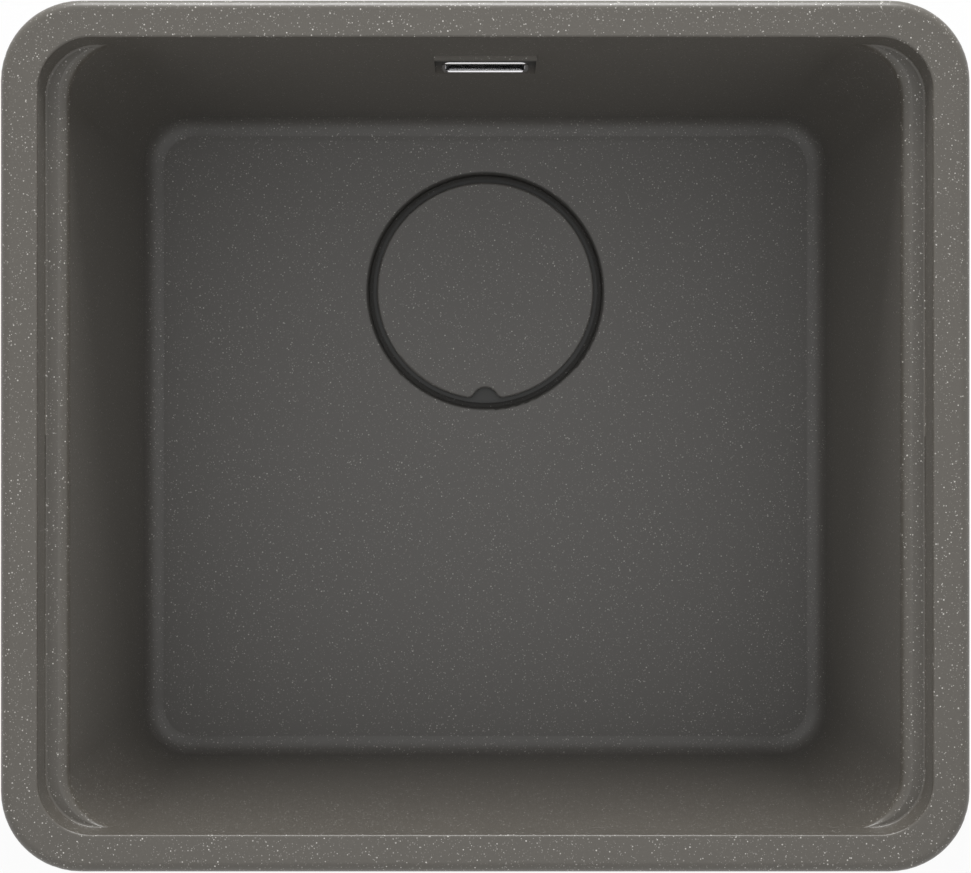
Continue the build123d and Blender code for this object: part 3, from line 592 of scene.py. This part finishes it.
# moulded pieces: two colours, size of the grain, roughness, height of the grain and specular level
mouldings = {
    "rubber": {
        "base": (0.012, 0.012, 0.0125, 1), "pale": (0.03, 0.03, 0.03, 1),
        "grain": 1600.0, "rough": 0.7, "bump": 0.25, "specular": 0.5,
    },
    "silicone": {
        "base": (0.23, 0.235, 0.24, 1), "pale": (0.33, 0.335, 0.34, 1),
        "grain": 900.0, "rough": 0.5, "bump": 0.1, "specular": 0.5,
    },
    "white_plastic": {
        "base": (0.66, 0.66, 0.64, 1), "pale": (0.76, 0.76, 0.74, 1),
        "grain": 1100.0, "rough": 0.42, "bump": 0.16, "specular": 0.5,
    },
    "hose_plastic": {
        "base": (0.42, 0.425, 0.43, 1), "pale": (0.52, 0.525, 0.53, 1),
        "grain": 700.0, "rough": 0.38, "bump": 0.1, "specular": 0.5,
    },
    "grey_plastic": {
        "base": (0.058, 0.058, 0.0565, 1), "pale": (0.078, 0.078, 0.076, 1),
        "grain": 1300.0, "rough": 0.5, "bump": 0.15, "specular": 0.25,
        # painted shade, darker towards the carrier's rim
        "paintedGrooveShade": {"colour": (0.01, 0.01, 0.0095, 1), "axis": drainAxis, "start": 0.0605, "end": 0.0675},
    },
    "black_plastic": {
        "base": (0.016, 0.016, 0.017, 1), "pale": (0.034, 0.034, 0.035, 1),
        "grain": 1300.0, "rough": 0.45, "bump": 0.22, "specular": 0.5,
    },
}


# painted shade that thickens outwards on the plate under the drain cover
def grooveShadeMask(finish, place, settings):
    x, y = finish.split(place)[:2]
    x, y = x - settings["axis"][0], y - settings["axis"][1]
    radius = (x * x + y * y) ** 0.5
    return finish.limit((radius - settings["start"]) / (settings["end"] - settings["start"]))


def mouldedFinish(name, settings):
    finish = Finish(name)
    place = finish.where()
    flow = finish.noise(place, 28.0, 3.0)
    grain = finish.noise(place, settings["grain"], 2.0, 0.55)
    dust = finish.limit(finish.noise(place, 90.0, 4.0, 0.65) * 3 - 1.5)
    colour = finish.blend(finish.limit(flow * 1.6 - 0.3 + dust * 0.25), settings["base"], settings["pale"])
    # painted shade towards the carrier's rim
    if "paintedGrooveShade" in settings:
        paintedGrooveShade = settings["paintedGrooveShade"]
        colour = finish.blend(grooveShadeMask(finish, place, paintedGrooveShade), colour, paintedGrooveShade["colour"])
    rough = settings["rough"] + (grain - 0.5) * 0.12 + dust * 0.12
    normal = finish.bump(grain, settings["bump"], 0.0001)
    return finish.output(finish.shader({
        "Base Color": colour, "Roughness": rough, "Normal": normal,
        "Specular IOR Level": settings["specular"],
    }))


finishes = {
    "granite": graniteFinish("graniteComposite", granite),
    "cover": graniteFinish("graniteCover", coverGranite),
    "steel": turnedFinish("turnedSteel", steel),
    "chrome": chromeFinish("polishedPlate", chrome),
    "zinc_steel": zincFinish("zincPlate", zinc),
    "brass": turnedFinish("turnedBrass", brass),
}
for slotName, settings in mouldings.items():
    finishes[slotName] = mouldedFinish(slotName + "Moulding", settings)

for part in frame["record"]["subparts"]:
    for holder in nodes[part["node"]].material_slots:
        holder.material = finishes[part["material_slot"]]
for holder in nodes["drain_cover"].material_slots:
    holder.material = finishes["cover"]
for piece, slotName in [(overflowHose, "hose_plastic"), (threads[0], "white_plastic")]:
    piece.data.materials.append(finishes[slotName])
for thread in threads[1:]:
    thread.data.materials.append(finishes["zinc_steel"])
print("finishes", len(finishes))

# pale floor under the outlet
floor = {"size": 12.0, "gap": 0.2 * mm, "colour": (0.8, 0.8, 0.8, 1), "white": 0.9}


def addFloor(settings):
    bpy.ops.object.select_all(action="DESELECT")
    level = cadBox[0][2] - settings["gap"]
    bpy.ops.mesh.primitive_plane_add(size=settings["size"], location=(0, 0, level))
    piece = bpy.context.active_object
    piece.name = "paleFloor"
    finish = Finish("paleFloor")
    matt = finish.add("ShaderNodeBsdfDiffuse", {}, {"Color": settings["colour"]})[0]
    glow = finish.add("ShaderNodeEmission", {}, {"Color": (1, 1, 1, 1), "Strength": 1.0})[0]
    share = finish.seen() * settings["white"]
    mixed = finish.add("ShaderNodeMixShader", {}, {0: share, 1: matt, 2: glow})[0]
    piece.data.materials.append(finish.output(mixed))


addFloor(floor)

# studio light: a dome that is brighter towards the back and weaker at the sides, a strip behind the sink
# and a panel high above it
dome = {"level": 0.86, "back": 0.12, "side": 0.42, "most": 3.0}
lamps = {
    "backStrip": {"place": (0, 1.7, 0.42), "size": (1.0, 0.66), "power": 31.0},
    "topPanel": {"place": (0, 0.05, 3.0), "size": (1.4, 1.4), "power": 5.2},
}


def addDome(settings):
    world = bpy.data.worlds.new("studioDome")
    world.use_nodes = True
    bpy.context.scene.world = world
    finish = Finish("studioDome", world.node_tree)
    heading = finish.add("ShaderNodeTexCoord")[0]                       # direction of the light
    side, back = finish.split(heading)[:2]
    tilt = back * settings["back"] - side * side * settings["side"] + 1.0
    level = finish.limit(tilt, 0.0, settings["most"]) * settings["level"]
    seen = finish.seen()
    strength = level * (1 - seen) + seen
    glow = finish.add("ShaderNodeBackground", {}, {"Color": (1, 1, 1, 1), "Strength": strength})[0]
    finish.add("ShaderNodeOutputWorld", {}, {"Surface": glow})


def addLamp(name, settings):
    data = bpy.data.lights.new(name, "AREA")
    data.shape = "RECTANGLE"
    data.size, data.size_y = settings["size"]
    data.energy = settings["power"]
    lamp = bpy.data.objects.new(name, data)
    lamp.location = settings["place"]
    lamp.rotation_euler = (-lamp.location).to_track_quat("-Z", "Y").to_euler()
    lamp.visible_camera = False
    bpy.context.scene.collection.objects.link(lamp)


addDome(dome)
for lampName, settings in lamps.items():
    addLamp(lampName, settings)
bpy.context.scene.view_settings.view_transform = "Standard"
print("stage and light set")
